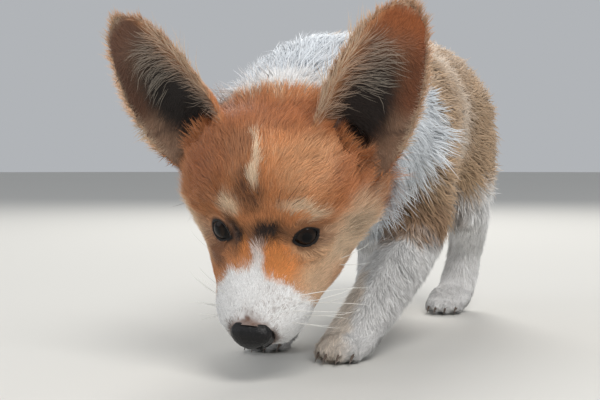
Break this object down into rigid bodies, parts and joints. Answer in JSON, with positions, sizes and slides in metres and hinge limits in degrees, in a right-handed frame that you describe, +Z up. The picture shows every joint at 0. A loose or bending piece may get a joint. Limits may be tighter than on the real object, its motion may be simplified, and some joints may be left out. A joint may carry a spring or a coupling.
{
  "type": "pembroke welsh corgi puppy figure",
  "caption": "Life-size pembroke welsh corgi puppy that walks forward with its head lowered to sniff the ground, ears up.",
  "frame": {"origin": "on the floor, under the middle of the figure's outline", "axes": "+X to the dog's left side, +Y towards its tail, +Z up; the head is at -Y"},
  "size_m": [0.1678, 0.3796, 0.1939],
  "materials": {
    "red_coat": "soft red-tan puppy fur",
    "white_coat": "soft white puppy fur",
    "ear": "short fur outside, thinly haired skin inside",
    "nose_leather": "moist, finely pebbled, near black",
    "eye": "wet, dark brown"
  },
  "bodies": {
    "root": {"head": "red_coat", "torso": "red_coat", "neck": "white_coat", "tail": "red_coat", "nose": "nose_leather", "eye_left": "eye", "eye_right": "eye", "ear_left": "ear", "ear_right": "ear", "leg_front_left": "white_coat", "leg_front_right": "white_coat", "leg_hind_left": "white_coat", "leg_hind_right": "white_coat"}
  },
  "joints": []
}
